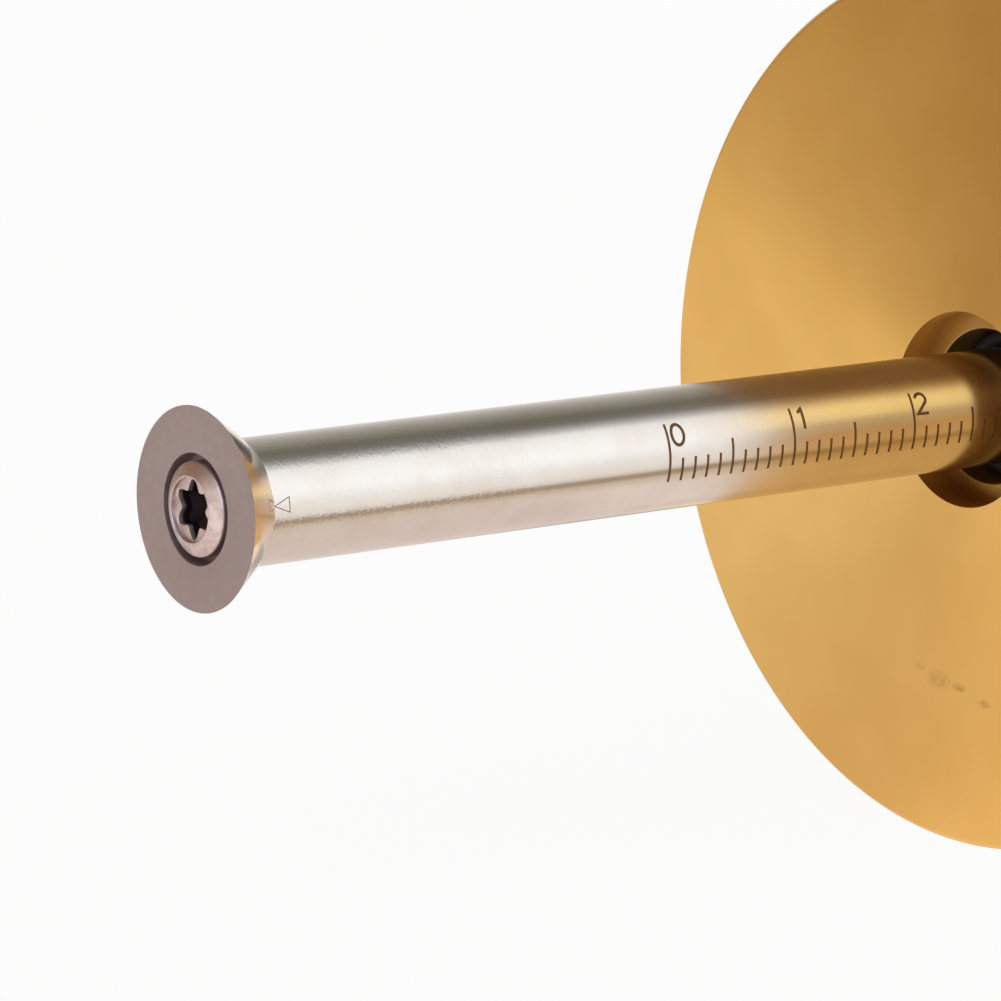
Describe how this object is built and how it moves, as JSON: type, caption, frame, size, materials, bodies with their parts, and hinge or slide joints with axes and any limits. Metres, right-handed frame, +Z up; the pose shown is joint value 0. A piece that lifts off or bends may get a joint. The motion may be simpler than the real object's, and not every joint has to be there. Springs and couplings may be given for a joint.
{
  "type": "wheel marking gauge",
  "caption": "Wheel marking gauge: a round brass fence slides on a graduated steel rod with a bevelled cutting wheel, with a knurled fine adjuster and thumb screw locks.",
  "frame": {"origin": "middle of the gauge's length along the rod, midway across the fence, at the level of the small flat on the fence's rim that it stands on", "axes": "+X along the rod from the cutting wheel to the tail, +Z up towards the thumb screws, -Y the side that the scale faces"},
  "size_m": [0.1832, 0.0574, 0.0574],
  "materials": {
    "brass": "satin, fine turned lines, lightly stained",
    "rod_steel": "satin ground, laser-marked scale",
    "carbide": "ground flat face, polished bevel",
    "screw_steel": "plated, slightly rough",
    "spring_steel": "dark phosphate",
    "rubber": "matt black",
    "nylon": "natural white"
  },
  "bodies": {
    "fence_head": {"fence": "brass", "front_grip_ring": "rubber"},
    "adjuster_washer": {"thrust_washer": "nylon"},
    "adjuster": {"adjuster_nut": "brass", "nut_retaining_ring": "spring_steel"},
    "collar": {"rear_collar": "brass", "collar_grip_ring": "rubber"},
    "rod_assembly": {"rod": "rod_steel", "rod_stop_ring": "spring_steel", "cutter_screw": "screw_steel"},
    "cutter": {"cutter_wheel": "carbide"},
    "fence_lock_tip": {"fence_lock_pad": "nylon"},
    "fence_lock": {"fence_lock_knob": "brass", "fence_lock_stud": "rod_steel"},
    "collar_lock_tip": {"collar_lock_pad": "nylon"},
    "collar_lock": {"collar_lock_knob": "brass", "collar_lock_stud": "rod_steel"}
  },
  "joints": [
    {"name": "adjuster_travel", "type": "slide", "parent": "fence_head", "child": "adjuster_washer", "axis": [1, 0, 0], "range_m": [-0.0015, 0.0005]},
    {"name": "adjuster_turn", "type": "hinge", "parent": "adjuster_washer", "child": "adjuster", "pos_m": [-0.0114, 0, 0.02866], "axis": [1, 0, 0], "range_deg": [-540, 180]},
    {"name": "rod_turn", "type": "hinge", "parent": "adjuster_washer", "child": "collar", "pos_m": [-0.0034, 0, 0.02866], "axis": [1, 0, 0], "continuous": true},
    {"name": "rod_slide", "type": "slide", "parent": "collar", "child": "rod_assembly", "axis": [1, 0, 0], "range_m": [-0.0872, 0.0598]},
    {"name": "cutter_turn", "type": "hinge", "parent": "rod_assembly", "child": "cutter", "pos_m": [-0.0912, 0, 0.02866], "axis": [1, 0, 0], "continuous": true},
    {"name": "fence_lock_travel", "type": "slide", "parent": "fence_head", "child": "fence_lock_tip", "axis": [0, 0, 1], "range_m": [0, 0.0021]},
    {"name": "fence_lock_turn", "type": "hinge", "parent": "fence_lock_tip", "child": "fence_lock", "pos_m": [-0.0212, 0, 0.02866], "axis": [0, 0, 1], "range_deg": [0, 1080]},
    {"name": "collar_lock_travel", "type": "slide", "parent": "collar", "child": "collar_lock_tip", "axis": [0, 0, 1], "range_m": [0, 0.0021]},
    {"name": "collar_lock_turn", "type": "hinge", "parent": "collar_lock_tip", "child": "collar_lock", "pos_m": [-0.00305, 0, 0.02866], "axis": [0, 0, 1], "range_deg": [0, 1080]}
  ],
  "couplings": [
    {"joint": "adjuster_turn", "follows": "adjuster_travel", "rad_per_m": 6283.2},
    {"joint": "fence_lock_turn", "follows": "fence_lock_travel", "rad_per_m": 8976},
    {"joint": "collar_lock_turn", "follows": "collar_lock_travel", "rad_per_m": 8976}
  ]
}
